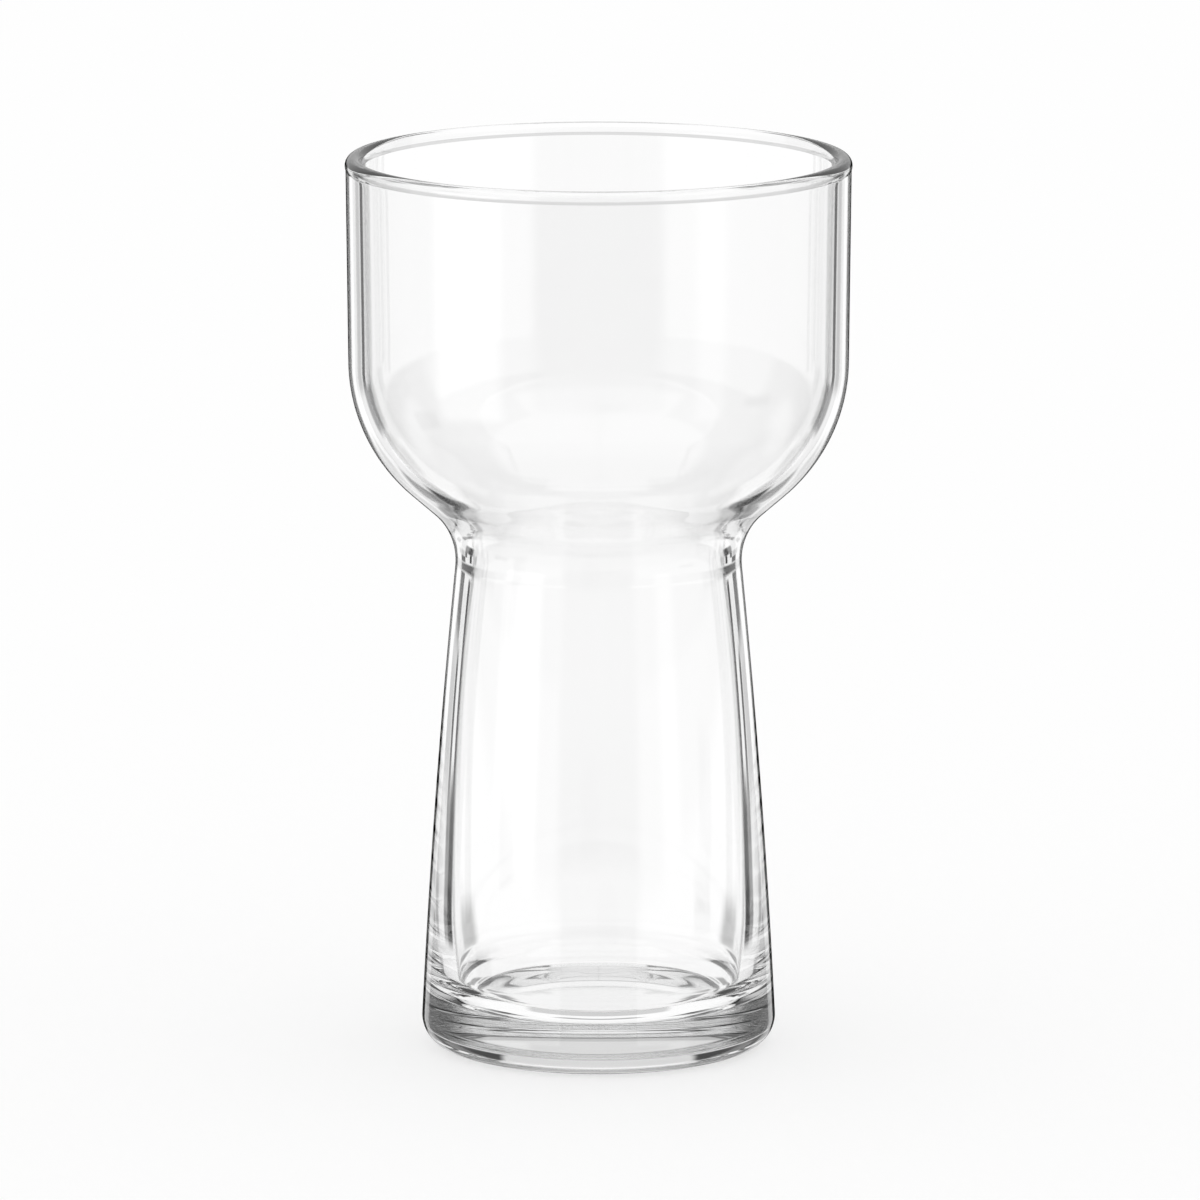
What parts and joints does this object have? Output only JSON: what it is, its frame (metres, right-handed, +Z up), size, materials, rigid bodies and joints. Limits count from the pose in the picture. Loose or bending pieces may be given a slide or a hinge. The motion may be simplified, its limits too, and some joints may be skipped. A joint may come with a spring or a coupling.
{
  "type": "drinking glass",
  "caption": "Clear glass cup in one piece: a wide bowl with a rounded shoulder on a hollow, flared stem with a thick base, open from rim to base.",
  "frame": {"origin": "centre of the ring that the glass rests on, at the height of the surface it stands on", "axes": "+Z up along the axis of the glass, from the base to the rim; +X and +Y across it, at any turn, because the glass is round"},
  "size_m": [0.0824, 0.0824, 0.147],
  "materials": {
    "clear_glass": "clear and fire polished"
  },
  "bodies": {
    "root": {"glass_cup": "clear_glass"}
  },
  "joints": []
}
